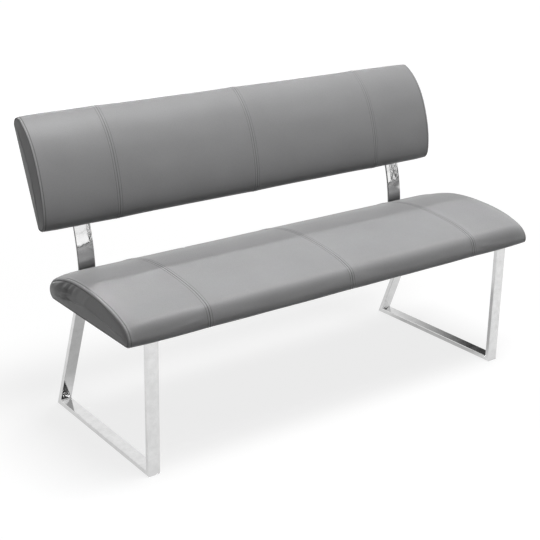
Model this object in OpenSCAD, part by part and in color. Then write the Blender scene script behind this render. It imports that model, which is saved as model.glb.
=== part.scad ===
// Upholstered dining bench with a padded backrest on two welded chrome leg loops, in millimetres.
// Width runs along X, the sitter faces -Y, Z is up, and the floor glides stand on Z = 0.

/* [Seat] */
// Width of the seat and of the backrest over their end covers
bench_w = 1500; // [1100:10:1900]
// Depth of the seat cushion from its front to its rear tip
seat_d = 479; // [400:1:560]
// Thickness of the seat cushion at the crown of its seams
seat_t = 105; // [70:1:140]
// Height of the seat's underside above the floor
seat_z = 416; // [340:1:480]
// How much higher a cover panel stands in its middle than at its seams
panel_rise = 2.4; // [0:0.1:6]
// Length at each end over which the cushions roll down to the end cover
edge_roll = 75; // [30:1:120]
// Distance of the two outer cross seams from the middle seam
seam_x = 498; // [300:1:620]
// How far the end covers bulge outwards
end_bulge = 3; // [1:0.5:8]
// Thickness of the plywood seat board
board_t = 18; // [12:1:25]
// Distance from the cushion's front to the edge of the seat board
board_front = 26; // [15:1:50]
// Distance from the cushion's rear tip to the edge of the seat board
board_rear = 36; // [25:1:60]
// Distance from the end of the cushion to the end of either board
board_end = 12; // [6:1:30]

/* [Cover] */
// Thickness of the imitation leather and of the dust cover
cover_t = 1.2; // [0.8:0.1:2]
// Width of the cover that is turned under the seat
turn_under = 28; // [15:1:45]
// Width of the front cover that is turned onto the rear of the backrest
turn_back = 12; // [6:1:25]
// Gap between two pieces of cover that lie in one layer
cover_gap = 0.5; // [0.2:0.1:2]

/* [Backrest] */
// Height of the backrest measured along its rear face
back_h = 347; // [250:1:450]
// Thickness of the backrest at its fullest
back_t = 86; // [60:1:120]
// Lean of the rear face from the vertical, in degrees
back_lean = 23.8; // [10:0.1:30]
// Thickness of the plywood back board
back_board_t = 12; // [9:1:18]
// Distance from the lower and upper tip of the backrest to the edge of the back board
back_board_in = 24; // [20:1:50]
// How far the backrest hangs below the start of the supports' straight upper part
back_drop = 73.5; // [30:0.5:120]

/* [Leg loops] */
// Width of the rectangular leg tube, across the bench
tube_w = 38; // [25:1:60]
// Thickness of the rectangular leg tube
tube_t = 15; // [10:1:25]
// Wall of the leg tube
tube_wall = 1.5; // [1:0.1:3]
// Outer corner radius of the leg tube
tube_r = 2; // [1:0.1:4]
// Distance from the end of the bench to the outer face of a loop
loop_in = 71; // [20:1:200]
// Distance from the cushion's front to the front of the front foot
loop_front = 48; // [20:1:120]
// Distance from the cushion's rear tip to the rear end of the floor rail
foot_back = 136; // [40:1:240]
// Lean of the front leg, top forwards, in degrees
front_lean = 1.8; // [0:0.1:6]
// Lean of the rear leg, top forwards, in degrees
rear_lean = 22.6; // [10:0.1:30]
// Thickness of a glide's disc under the rail
glide_t = 2; // [1:0.5:6]
// Diameter of a glide's disc
glide_d = 20; // [12:1:30]
// Diameter of a glide's stem
glide_stem_d = 6; // [4:0.5:10]
// Length of a glide's stem above its disc
glide_stem_l = 7; // [4:0.5:12]
// Distance from the end of the floor rail to the middle of a glide
glide_in = 60; // [40:1:150]

/* [Back supports] */
// Width of the flat steel support
bar_w = 54; // [35:1:80]
// Thickness of the flat steel support
bar_t = 8; // [5:0.5:12]
// Gap between a support and the loop beside it
bar_gap = 7; // [3:0.5:60]
// Gap between the seat's rear tip and the front of a support
bar_behind = 26; // [15:0.5:60]
// Length of a support's straight part under the seat
bar_under = 140; // [90:1:220]
// Inner radius of the bend under the seat's rear edge
bend_r = 25; // [15:1:50]
// Radius of the long curve, at the front of the support
sweep_r = 545; // [300:5:800]
// Length of a support's straight part behind the backrest
bar_up = 135; // [90:1:160]

/* [Fasteners] */
// Nominal diameter of the bolts
bolt_d = 8; // [6:0.5:10]
// Clearance round a bolt in the steel and in the wood
bolt_clear = 1; // [0.4:0.1:2]
// Clearance between a bolt and the thread of its nut
thread_clear = 0.2; // [0.1:0.05:0.4]
// Diameter of a bolt head
head_d = 15; // [12:0.5:20]
// Height of a bolt head
head_t = 4.4; // [3:0.2:8]
// Width across the corners of the socket in a bolt head
socket_d = 5.8; // [4:0.2:8]
// Depth of the socket in a bolt head
socket_t = 2.6; // [1.5:0.1:4]
// Diameter of a washer
washer_d = 18; // [14:0.5:26]
// Thickness of a washer
washer_t = 1.4; // [1:0.1:3]
// Diameter of a T-nut's barrel
nut_barrel_d = 10.5; // [9:0.5:14]
// Diameter of a T-nut's flange
nut_flange_d = 22; // [16:0.5:28]
// Thickness of a T-nut's flange
nut_flange_t = 1.6; // [1:0.1:3]
// Length of a T-nut's barrel
nut_barrel_l = 9; // [6:0.5:11]
// Clearance round a T-nut in the wood
nut_clear = 0.4; // [0.2:0.1:1]

/* [Hidden] */
$fn = 48;

// Half sections of the cushions, as shares of their depth or height and of their thickness
// Seat at a cross seam, from the lower front corner over the crown to the lower rear corner
seat_mid_shares = [
    [0.0157, 0], [0.0052, 0.067], [0, 0.157], [0.0021, 0.276], [0.0127, 0.414], [0.0334, 0.524],
    [0.0647, 0.630], [0.1127, 0.733], [0.1795, 0.810], [0.2630, 0.882], [0.3550, 0.938],
    [0.4550, 0.980], [0.5595, 1], [0.6597, 0.982], [0.7470, 0.933], [0.8270, 0.843],
    [0.8935, 0.714], [0.9457, 0.581], [0.9810, 0.448], [1, 0.314], [0.9980, 0.186],
    [0.9830, 0.081], [0.9560, 0]
];
// Seat at its end seam
seat_end_shares = [
    [0.0313, 0], [0.0240, 0.071], [0.0230, 0.157], [0.0313, 0.252], [0.0480, 0.343],
    [0.0752, 0.433], [0.1170, 0.524], [0.1670, 0.610], [0.2255, 0.690], [0.2920, 0.757],
    [0.3716, 0.808], [0.4593, 0.838], [0.5490, 0.850], [0.6388, 0.841], [0.7223, 0.808],
    [0.7996, 0.745], [0.8643, 0.667], [0.9165, 0.570], [0.9540, 0.448], [0.9760, 0.319],
    [0.9790, 0.195], [0.9700, 0.090], [0.9480, 0]
];
// Backrest at a cross seam, from the lower rear edge round the front to the upper rear edge
back_mid_shares = [
    [0.0303, 0], [0.0101, 0.093], [0, 0.209], [0.0072, 0.337], [0.0303, 0.448], [0.0766, 0.566],
    [0.1400, 0.678], [0.2124, 0.775], [0.2990, 0.864], [0.3945, 0.933], [0.4928, 0.982],
    [0.5880, 1], [0.6806, 0.974], [0.7645, 0.913], [0.8396, 0.818], [0.9032, 0.706],
    [0.9523, 0.596], [0.9855, 0.490], [1, 0.355], [0.9980, 0.215], [0.9850, 0.095], [0.9550, 0]
];
// Backrest at its end seam
back_end_shares = [
    [0.0448, 0], [0.0260, 0.081], [0.0159, 0.180], [0.0188, 0.297], [0.0360, 0.407],
    [0.0795, 0.535], [0.1400, 0.651], [0.2095, 0.756], [0.2930, 0.849], [0.3860, 0.919],
    [0.4870, 0.965], [0.5820, 0.977], [0.6750, 0.951], [0.7587, 0.884], [0.8340, 0.785],
    [0.8945, 0.663], [0.9407, 0.541], [0.9725, 0.419], [0.9855, 0.302], [0.9840, 0.186],
    [0.9697, 0.081], [0.9436, 0]
];
// Places of the stations along an outer and an inner cover panel, as shares of the panel
outer_shares = [0, 0.35, 0.62, 0.78, 0.90, 0.97, 1];
inner_shares = [0, 0.25, 0.5, 0.75, 1];
// Size and rise of the middle ring of an end cover, as shares of its outline and of its bulge
ring_share = 0.62;
ring_rise_share = 0.75;
// Places of the bolts along a top rail and along a support's two straight parts, as shares
rail_bolt_shares = [0.16, 0.5, 0.80];
under_bolt_shares = [0.16, 0.40];
up_bolt_shares = [0.28, 0.78];
// How far a mitre cutter runs past the tube, as a share of the mitre
mitre_over_share = 0.4;

// One overrun serves all cuts
cut_over = 1;

half_w = bench_w / 2;
end_x = half_w - end_bulge;
panel_x = end_x - cover_t;
board_x = half_w - board_end;

// The seat runs from seat_y0, and the whole bench is centred on Y = 0
bar_y = seat_d + bar_behind;
sweep_dy = sweep_r * (1 - cos(back_lean));
sweep_dz = sweep_r * sin(back_lean);
back_y = bar_y + sweep_dy;
back_z = seat_z + bend_r + sweep_dz;
back_u0 = -back_drop;
function back_reach(p) =
    back_y + (back_u0 + p[0] * back_h) * sin(back_lean) - p[1] * back_t * cos(back_lean);
bench_d = max([for (p = back_mid_shares) back_reach(p)]);
seat_y0 = -bench_d / 2;

// Leg loop, seen from its side: corners from the front foot, anticlockwise with +Y to the right
foot_span = seat_d - loop_front + foot_back;
loop_h = seat_z - glide_t;
front_dy = loop_h * tan(front_lean);
rear_dy = loop_h * tan(rear_lean);
foot_y = seat_y0 + loop_front;
loop_points = [
    [foot_y, glide_t], [foot_y + foot_span, glide_t],
    [foot_y + foot_span - rear_dy, seat_z], [foot_y - front_dy, seat_z]
];
loop_x = half_w - loop_in;
bar_x = loop_x - tube_w - bar_gap - bar_w / 2;
rail_x = loop_x - tube_w / 2;

function unit(v) = v / norm(v);
function right_normal(v) = [v[1], -v[0]];
function corner_in(pts, i, depth) =
    let (n = len(pts), a = unit(pts[i] - pts[(i + n - 1) % n]), b = unit(pts[(i + 1) % n] - pts[i]))
    let (na = -right_normal(a), nb = -right_normal(b))
    pts[i] + depth * (na + nb) / (1 + na * nb);

// Bolt places: along the rails in Y, along the supports in Y below and in U behind the backrest
rail_start = loop_points[3][0];
rail_end = loop_points[2][0];
rail_bolt_y = [for (s = rail_bolt_shares) rail_start + s * (rail_end - rail_start)];
under_end = seat_y0 + bar_y - bend_r;
under_bolt_y = [for (s = under_bolt_shares) under_end - bar_under + s * bar_under];
up_bolt_u = [for (s = up_bolt_shares) s * bar_up];
seat_bolt_places = concat(
    [for (sx = [-1, 1], y = rail_bolt_y) [sx * rail_x, y]],
    [for (sx = [-1, 1], y = under_bolt_y) [sx * bar_x, y]]
);
back_bolt_places = [for (sx = [-1, 1], u = up_bolt_u) [sx * bar_x, u]];

// Cushion sections
function roll(x) =
    let (t = max(0, (abs(x) - (panel_x - edge_roll)) / edge_roll)) 1 - sqrt(max(0, 1 - t * t));
function crown(x) =
    let (p = abs(x) < seam_x ? abs(x) / seam_x : (abs(x) - seam_x) / (panel_x - seam_x))
    4 * panel_rise * max(0, p) * max(0, 1 - p);
function blend(mid, end, x) =
    let (w = roll(x)) [for (i = [0:len(mid) - 1]) mid[i] * (1 - w) + end[i] * w];
function seat_section(x) =
    [for (p = blend(seat_mid_shares, seat_end_shares, x)) [p[0] * seat_d, p[1] * (seat_t + crown(x))]];
function back_section(x) =
    [for (p = blend(back_mid_shares, back_end_shares, x))
        [-p[1] * (back_t + crown(x)), back_u0 + p[0] * back_h]];

// A path with its margins: the cover's outline from one turned edge to the other
seat_margin_y = [board_front + turn_under, seat_d - board_rear - turn_under];
seat_margin_l = seat_margin_y[1] - seat_margin_y[0] - 2 * cover_gap;
back_margin_u = [
    back_u0 + back_mid_shares[0][0] * back_h + turn_back,
    back_u0 + back_mid_shares[len(back_mid_shares) - 1][0] * back_h - turn_back
];
function seat_path(x) = concat([[seat_margin_y[0], 0]], seat_section(x), [[seat_margin_y[1], 0]]);
function back_path(x) = concat([[0, back_margin_u[0]]], back_section(x), [[0, back_margin_u[1]]]);
function path_normal(p, i) =
    let (n = len(p), a = unit(p[max(1, i)] - p[max(1, i) - 1]))
    let (b = unit(p[min(n - 1, i + 1)] - p[min(n - 1, i + 1) - 1]))
    let (na = right_normal(a), nb = right_normal(b))
    (na + nb) / (1 + na * nb);
function inset(p) = [for (i = [0:len(p) - 1]) p[i] + cover_t * path_normal(p, i)];
function lift(p, x) = [for (q = p) [x, q[0], q[1]]];
function inner_points(p) = [for (i = [1:len(p) - 2]) p[i]];

// Shell of one cover panel between the stations xs, from the outline that kind names
function outline(kind, x) = kind == "seat" ? seat_path(x) : back_path(x);
module cover_panel(kind, xs) {
    m = len(outline(kind, 0));
    outer = [for (x = xs) each lift(outline(kind, x), x)];
    inner = [for (x = xs) each lift(inset(outline(kind, x)), x)];
    k = len(xs) - 1;
    o = len(outer);
    polyhedron(
        concat(outer, inner),
        concat(
            [for (j = [0:k - 1], i = [0:m - 2])
                each quad(j * m + i, j * m + i + 1, (j + 1) * m + i + 1, (j + 1) * m + i)],
            [for (j = [0:k - 1], i = [0:m - 2])
                each quad(o + j * m + i, o + (j + 1) * m + i, o + (j + 1) * m + i + 1, o + j * m + i + 1)],
            [for (j = [0:k - 1]) each quad(j * m, (j + 1) * m, o + (j + 1) * m, o + j * m)],
            [for (j = [0:k - 1])
                each quad((j + 1) * m + m - 1, j * m + m - 1, o + j * m + m - 1, o + (j + 1) * m + m - 1)],
            [for (i = [0:m - 2]) each quad(i + 1, i, o + i, o + i + 1)],
            [for (i = [0:m - 2]) each quad(k * m + i, k * m + i + 1, o + k * m + i + 1, o + k * m + i)]
        )
    );
}
function quad(a, b, c, d) = [[a, b, c], [a, c, d]];

// Closed filling inside the cover, through all the stations
module filling(kind, xs) {
    rows = [for (x = xs) lift(inner_points(inset(outline(kind, x))), x)];
    m = len(rows[0]);
    k = len(xs) - 1;
    polyhedron(
        [for (r = rows) each r],
        concat(
            [for (j = [0:k - 1], i = [0:m - 1])
                each quad(j * m + i, j * m + (i + 1) % m, (j + 1) * m + (i + 1) % m, (j + 1) * m + i)],
            [for (i = [1:m - 2]) [0, i + 1, i]],
            [for (i = [1:m - 2]) [k * m, k * m + i, k * m + i + 1]]
        )
    );
}

// End cover: flat inside, bulged outside, on the outline of the end seam
function ring(p, share, x) =
    let (c = [for (k = [0, 1]) (max([for (q = p) q[k]]) + min([for (q = p) q[k]])) / 2])
    [for (q = p) concat([x], c + (q - c) * share)];
module end_cover(kind) {
    p = inner_points(outline(kind, panel_x));
    m = len(p);
    points = concat(
        ring(p, 1, panel_x), ring(p, 1, end_x), ring(p, ring_share, end_x + end_bulge * ring_rise_share),
        ring([p[0], p[0]], 0, half_w)
    );
    c = (ring(p, 0, half_w))[0];
    polyhedron(
        concat([for (i = [0:3 * m - 1]) points[i]], [c]),
        concat(
            [for (i = [1:m - 2]) [0, i + 1, i]],
            [for (i = [0:m - 1]) each quad(i, (i + 1) % m, m + (i + 1) % m, m + i)],
            [for (i = [0:m - 1]) each quad(m + i, m + (i + 1) % m, 2 * m + (i + 1) % m, 2 * m + i)],
            [for (i = [0:m - 1]) [2 * m + i, 2 * m + (i + 1) % m, 3 * m]]
        )
    );
}

outer_xs = [for (s = outer_shares) seam_x + s * (panel_x - seam_x)];
inner_xs = [for (s = inner_shares) s * seam_x];
left_outer_xs = [for (i = [len(outer_xs) - 1:-1:0]) -outer_xs[i]];
left_inner_xs = [for (i = [len(inner_xs) - 1:-1:0]) -inner_xs[i]];
function tail(v) = [for (i = [1:len(v) - 1]) v[i]];
all_xs = concat(left_outer_xs, tail(left_inner_xs), tail(inner_xs), tail(outer_xs));

module at_seat() {
    translate([0, seat_y0, seat_z]) children();
}

module at_back() {
    translate([0, seat_y0 + back_y, back_z]) rotate([-back_lean, 0, 0]) children();
}

// Leg loop
module tube_profile() {
    difference() {
        rounded(tube_w, tube_t, tube_r);
        translate([tube_wall, tube_wall])
            rounded(tube_w - 2 * tube_wall, tube_t - 2 * tube_wall, tube_r - tube_wall);
    }
}

module rounded(w, h, r) {
    translate([r, 0]) square([w - 2 * r, h]);
    translate([0, r]) square([w, h - 2 * r]);
    for (x = [r, w - r], y = [r, h - r]) translate([x, y]) circle(r);
}

module tube(i) {
    a = loop_points[i];
    b = loop_points[(i + 1) % 4];
    d = b - a;
    ia = corner_in(loop_points, i, tube_t);
    ib = corner_in(loop_points, (i + 1) % 4, tube_t);
    over = mitre_over_share;
    run = tube_w;
    translate([-loop_x, 0, 0]) intersection() {
        translate([0, a[0], a[1]]) rotate([atan2(-d[0], d[1]), 0, 0])
            translate([0, -tube_t, -run]) linear_extrude(norm(d) + 2 * run) tube_profile();
        translate([-cut_over, 0, 0]) rotate([90, 0, 90]) linear_extrude(tube_w + 2 * cut_over)
            polygon([a + over * (a - ia), b + over * (b - ib), ib + over * (ib - b), ia + over * (ia - a)]);
    }
}

module front_leg() {
    color([0.80, 0.80, 0.82]) tube(3);
}

module floor_rail() {
    color([0.78, 0.78, 0.80]) difference() {
        tube(0);
        for (y = glide_places) translate([-rail_x, y, glide_t - cut_over])
            cylinder(d = glide_stem_d + thread_clear, h = tube_wall + 2 * cut_over);
    }
}
glide_places = [foot_y + glide_in, foot_y + foot_span - glide_in];

module rear_leg() {
    color([0.76, 0.76, 0.78]) tube(1);
}

module top_rail() {
    color([0.74, 0.74, 0.76]) difference() {
        tube(2);
        for (y = rail_bolt_y) translate([-rail_x, y, seat_z - tube_t - cut_over])
            cylinder(d = bolt_d + bolt_clear, h = tube_t + 2 * cut_over);
    }
}

module floor_glides() {
    color([0.10, 0.10, 0.10]) for (sx = [-1, 1], y = glide_places) translate([sx * rail_x, y, 0]) {
        cylinder(d = glide_d, h = glide_t);
        cylinder(d = glide_stem_d, h = glide_t + glide_stem_l);
    }
}

// Back support, drawn in its side view and extruded across its width
module sector(r_out, r_in, from, to) {
    far = 2 * r_out;
    intersection() {
        difference() {
            circle(r_out, $fn = 96);
            circle(r_in, $fn = 96);
        }
        polygon([[0, 0], far * [cos(from), sin(from)], far * [cos(to), sin(to)]]);
    }
}

module support_side() {
    translate([bar_y - bend_r - bar_under, -bar_t]) square([bar_under, bar_t]);
    translate([bar_y - bend_r, bend_r]) sector(bend_r + bar_t, bend_r, -90, 0);
    translate([bar_y + sweep_r, bend_r]) sector(sweep_r, sweep_r - bar_t, 180 - back_lean, 180);
    translate([back_y, bend_r + sweep_dz]) rotate(-back_lean) square([bar_t, bar_up]);
}

module back_support() {
    color([0.82, 0.82, 0.84]) difference() {
        translate([-bar_x - bar_w / 2, seat_y0, seat_z]) rotate([90, 0, 90])
            linear_extrude(bar_w) support_side();
        for (y = under_bolt_y) translate([-bar_x, y, seat_z - bar_t - cut_over])
            cylinder(d = bolt_d + bolt_clear, h = bar_t + 2 * cut_over);
        at_back() for (u = up_bolt_u) translate([-bar_x, -cut_over, u]) rotate([-90, 0, 0])
            cylinder(d = bolt_d + bolt_clear, h = bar_t + 2 * cut_over);
    }
}

// Boards
module nut_hole(t) {
    translate([0, 0, -cut_over]) cylinder(d = nut_barrel_d + nut_clear, h = t + 2 * cut_over);
    translate([0, 0, t - nut_flange_t]) cylinder(d = nut_flange_d + nut_clear, h = nut_flange_t + cut_over);
}

module seat_board() {
    color([0.72, 0.58, 0.40]) difference() {
        at_seat() translate([-board_x, board_front, cover_t])
            cube([2 * board_x, seat_d - board_front - board_rear, board_t]);
        for (p = seat_bolt_places) translate([p[0], p[1], seat_z + cover_t]) nut_hole(board_t);
    }
}

back_board_u = [back_u0 + back_board_in, back_u0 + back_h - back_board_in];
module back_board() {
    color([0.70, 0.56, 0.38]) at_back() difference() {
        translate([-board_x, -cover_t - back_board_t, back_board_u[0]])
            cube([2 * board_x, back_board_t, back_board_u[1] - back_board_u[0]]);
        for (p = back_bolt_places) translate([p[0], -cover_t, p[1]]) rotate([90, 0, 0])
            nut_hole(back_board_t);
    }
}

// Cushions
module seat_foam() {
    color([0.93, 0.90, 0.78]) at_seat() difference() {
        filling("seat", all_xs);
        translate([-board_x, board_front, cover_t - cut_over])
            cube([2 * board_x, seat_d - board_front - board_rear, board_t + cut_over]);
    }
}

module back_foam() {
    color([0.92, 0.89, 0.77]) at_back() difference() {
        filling("back", all_xs);
        translate([-board_x, -cover_t - back_board_t, back_board_u[0]])
            cube([2 * board_x, back_board_t + cut_over, back_board_u[1] - back_board_u[0]]);
    }
}

module seat_panel(xs, tone) {
    color([tone, tone, tone]) at_seat() cover_panel("seat", xs);
}

module back_panel(xs, tone) {
    color([tone, tone, tone]) at_back() cover_panel("back", xs);
}

module seat_end() {
    color([0.36, 0.36, 0.36]) at_seat() {
        end_cover("seat");
        translate([panel_x - turn_under, seat_margin_y[0] + cover_gap, 0])
            cube([turn_under + cover_t, seat_margin_l, cover_t]);
    }
}

module back_end() {
    color([0.34, 0.34, 0.34]) at_back() end_cover("back");
}

module seat_dust_cover() {
    color([0.14, 0.14, 0.14]) difference() {
        at_seat() translate([turn_under + cover_gap - panel_x, seat_margin_y[0] + cover_gap, 0])
            cube([2 * (panel_x - turn_under - cover_gap), seat_margin_l, cover_t]);
        for (p = seat_bolt_places) translate([p[0], p[1], seat_z - cut_over])
            cylinder(d = bolt_d + bolt_clear, h = cover_t + 2 * cut_over);
    }
}

module back_rear_cover() {
    color([0.40, 0.40, 0.40]) at_back() difference() {
        translate([cover_gap - panel_x, -cover_t, back_margin_u[0] + cover_gap])
            cube([2 * (panel_x - cover_gap), cover_t, back_margin_u[1] - back_margin_u[0] - 2 * cover_gap]);
        for (p = back_bolt_places) translate([p[0], cut_over, p[1]]) rotate([90, 0, 0])
            cylinder(d = bolt_d + bolt_clear, h = cover_t + 2 * cut_over);
    }
}

// Fasteners, drawn with the head's seat at Z = 0 and the shank upwards
module bolt(length) {
    difference() {
        union() {
            cylinder(d = bolt_d, h = length);
            translate([0, 0, -head_t]) cylinder(d1 = head_d - head_t, d2 = head_d, h = head_t / 2);
            translate([0, 0, -head_t / 2]) cylinder(d = head_d, h = head_t / 2);
        }
        translate([0, 0, -head_t - cut_over]) cylinder(d = socket_d, h = socket_t + cut_over, $fn = 6);
    }
}

module washer() {
    difference() {
        cylinder(d = washer_d, h = washer_t);
        translate([0, 0, -cut_over]) cylinder(d = bolt_d + bolt_clear, h = washer_t + 2 * cut_over);
    }
}

module t_nut(t) {
    difference() {
        union() {
            translate([0, 0, t - nut_flange_t]) cylinder(d = nut_flange_d, h = nut_flange_t);
            translate([0, 0, t - nut_barrel_l]) cylinder(d = nut_barrel_d, h = nut_barrel_l);
        }
        translate([0, 0, -cut_over]) cylinder(d = bolt_d + thread_clear, h = t + 2 * cut_over);
    }
}

rail_seat_z = seat_z - tube_t;
bar_seat_z = seat_z - bar_t;
module loop_bolts() {
    color([0.55, 0.55, 0.57]) for (sx = [-1, 1], y = rail_bolt_y)
        translate([sx * rail_x, y, rail_seat_z - washer_t]) bolt(washer_t + tube_t + cover_t + board_t);
}

module support_bolts() {
    color([0.57, 0.57, 0.59]) for (sx = [-1, 1], y = under_bolt_y)
        translate([sx * bar_x, y, bar_seat_z - washer_t]) bolt(washer_t + bar_t + cover_t + board_t);
}

module backrest_bolts() {
    color([0.59, 0.59, 0.61]) at_back() for (sx = [-1, 1], u = up_bolt_u)
        translate([sx * bar_x, bar_t + washer_t, u]) rotate([90, 0, 0])
            bolt(washer_t + bar_t + cover_t + back_board_t);
}

module washers() {
    color([0.65, 0.65, 0.67]) {
        for (sx = [-1, 1], y = rail_bolt_y) translate([sx * rail_x, y, rail_seat_z - washer_t]) washer();
        for (sx = [-1, 1], y = under_bolt_y) translate([sx * bar_x, y, bar_seat_z - washer_t]) washer();
        at_back() for (sx = [-1, 1], u = up_bolt_u)
            translate([sx * bar_x, bar_t + washer_t, u]) rotate([90, 0, 0]) washer();
    }
}

module seat_t_nuts() {
    color([0.75, 0.70, 0.50]) for (p = seat_bolt_places)
        translate([p[0], p[1], seat_z + cover_t]) t_nut(board_t);
}

module back_t_nuts() {
    color([0.75, 0.70, 0.52]) at_back() for (p = back_bolt_places)
        translate([p[0], -cover_t, p[1]]) rotate([90, 0, 0]) t_nut(back_board_t);
}

module other_side() {
    mirror([1, 0, 0]) children();
}

front_leg();  // left_front_leg
floor_rail();  // left_floor_rail
rear_leg();  // left_rear_leg
top_rail();  // left_top_rail
other_side() front_leg();  // right_front_leg
other_side() floor_rail();  // right_floor_rail
other_side() rear_leg();  // right_rear_leg
other_side() top_rail();  // right_top_rail
floor_glides();
back_support();  // left_back_support
other_side() back_support();  // right_back_support
seat_board();
seat_foam();
seat_panel(left_outer_xs, 0.50);  // seat_cover_outer_left
seat_panel(left_inner_xs, 0.52);  // seat_cover_inner_left
seat_panel(inner_xs, 0.54);  // seat_cover_inner_right
seat_panel(outer_xs, 0.56);  // seat_cover_outer_right
other_side() seat_end();  // seat_end_left
seat_end();  // seat_end_right
seat_dust_cover();
seat_t_nuts();
back_board();
back_foam();
back_panel(left_outer_xs, 0.46);  // back_cover_outer_left
back_panel(left_inner_xs, 0.48);  // back_cover_inner_left
back_panel(inner_xs, 0.50);  // back_cover_inner_right
back_panel(outer_xs, 0.52);  // back_cover_outer_right
other_side() back_end();  // back_end_left
back_end();  // back_end_right
back_rear_cover();
back_t_nuts();
loop_bolts();
support_bolts();
backrest_bolts();
washers();
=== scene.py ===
import math

import bmesh
import bpy
from mathutils import Matrix, Vector, noise
from mathutils.bvhtree import BVHTree


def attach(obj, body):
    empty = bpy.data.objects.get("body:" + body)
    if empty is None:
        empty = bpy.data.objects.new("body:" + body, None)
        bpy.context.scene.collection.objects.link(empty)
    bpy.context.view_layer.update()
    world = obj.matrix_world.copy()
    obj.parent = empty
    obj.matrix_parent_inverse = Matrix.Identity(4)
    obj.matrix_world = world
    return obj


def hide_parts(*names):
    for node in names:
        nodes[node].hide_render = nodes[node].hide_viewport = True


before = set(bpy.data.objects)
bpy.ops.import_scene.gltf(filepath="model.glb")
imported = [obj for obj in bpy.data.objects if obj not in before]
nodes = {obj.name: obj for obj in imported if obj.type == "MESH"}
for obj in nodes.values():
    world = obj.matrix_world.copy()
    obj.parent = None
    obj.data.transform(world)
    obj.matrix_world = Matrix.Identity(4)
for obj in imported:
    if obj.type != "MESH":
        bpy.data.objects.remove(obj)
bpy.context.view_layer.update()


# Helpers that several pieces share: the nodes of their materials, and how a mesh becomes a piece.
# A node's value is a number or the socket of another node.
def add(tree, kind, inputs=None, **settings):
    made = tree.nodes.new("ShaderNode" + kind)
    for name, value in settings.items():
        setattr(made, name, value)
    for key, value in (inputs or {}).items():
        if isinstance(value, bpy.types.NodeSocket):
            tree.links.new(value, made.inputs[key])
        else:
            made.inputs[key].default_value = value
    return made


def calculate(tree, operation, *values):
    return add(tree, "Math", dict(enumerate(values)), operation=operation).outputs[0]


def product(tree, first, *others):
    for value in others:
        first = calculate(tree, "MULTIPLY", first, value)
    return first


def ranged(tree, value, given=(0.0, 1.0), wanted=(0.0, 1.0), **settings):
    """Maps a value from the given range onto the wanted one, and holds it inside."""
    ends = dict(zip(("From Min", "From Max", "To Min", "To Max"), (*given, *wanted)))
    return add(tree, "MapRange", {"Value": value, **ends}, **settings).outputs["Result"]


def noise_over(tree, place, scale, detail, **more):
    inputs = {"Vector": place, "Scale": scale, "Detail": detail, **more}
    return add(tree, "TexNoise", inputs).outputs["Fac"]


def bumped(tree, height, distance, strength=1.0, **more):
    inputs = {"Height": height, "Distance": distance, "Strength": strength, **more}
    return add(tree, "Bump", inputs).outputs["Normal"]


def object_coordinates(tree, scale=(1, 1, 1)):
    place = add(tree, "TexCoord").outputs["Object"]
    return add(tree, "Mapping", {"Vector": place, "Scale": scale}).outputs["Vector"]


def feed(tree, node, **values):
    for name, value in values.items():
        tree.links.new(value, node.inputs[name.replace("_", " ")])


def new_group(name, ins, outs):
    tree = bpy.data.node_groups.new(name, "ShaderNodeTree")
    for socket, kind, value in ins:
        made = tree.interface.new_socket(socket, in_out="INPUT", socket_type="NodeSocket" + kind)
        if value is not None:
            made.default_value = value
    for socket, kind in outs:
        tree.interface.new_socket(socket, in_out="OUTPUT", socket_type="NodeSocket" + kind)
    return tree, tree.nodes.new("NodeGroupInput").outputs, tree.nodes.new("NodeGroupOutput")


def new_material(name, **constants):
    made = bpy.data.materials.new(name)
    made.use_nodes = True
    tree = made.node_tree
    surface = tree.nodes["Principled BSDF"]
    for key, value in constants.items():
        surface.inputs[key.replace("_", " ")].default_value = value
    return made, tree, surface


def new_mesh(name, bm):
    made = bpy.data.meshes.new(name)
    bm.to_mesh(made)
    bm.free()
    return made


def new_object(name, mesh):
    made = bpy.data.objects.new(name, mesh)
    bpy.context.scene.collection.objects.link(made)
    return made


def finish_piece(name, bm, material, place=Matrix(), smooth=True, *, slot):
    bmesh.ops.transform(bm, matrix=place, verts=bm.verts)
    made = new_object(name, new_mesh(name, bm))
    if smooth:
        made.data.shade_smooth()
    made.data.materials.append(material)
    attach(made, "root")
    return made


def speckled(name, colour, scale, rough, relief, strength):
    """A dull material whose fine specks vary its roughness and stand out a little."""
    made, tree, surface = new_material(name, Base_Color=(*colour, 1))
    speck = noise_over(tree, object_coordinates(tree), scale, 2.0)
    feed(tree, surface, Roughness=ranged(tree, speck, wanted=rough),
         Normal=bumped(tree, speck, relief, strength))
    return made


def dress(objects, material):
    for piece in objects:
        piece.data.materials.clear()
        piece.data.materials.append(material)
        for face in piece.data.polygons:
            face.material_index = 0


# Leg loops: two closed trapezoids of 38 x 15 mm steel tube with 2 mm corners, mitred, welded,
# ground flush and chrome plated. The tubes are the frame's own solids; the thin weld lines round
# the mitres and the small fillets in the inner corners are made here.
polish, ins, outs = new_group(
    "polish marks",
    [("Vector", "Vector", None), ("Smooth", "Float", 0.05), ("Rough", "Float", 0.14)],
    [("Roughness", "Float"), ("Height", "Float")],
)
lines = noise_over(polish, ins["Vector"], 1.0, 3.0)
cloud = noise_over(polish, ins["Vector"], 0.06, 2.0)
worn = product(polish, lines, cloud)
feed(polish, outs, Roughness=ranged(polish, worn, (0.15, 0.38), (ins["Smooth"], ins["Rough"])), Height=lines)


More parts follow.
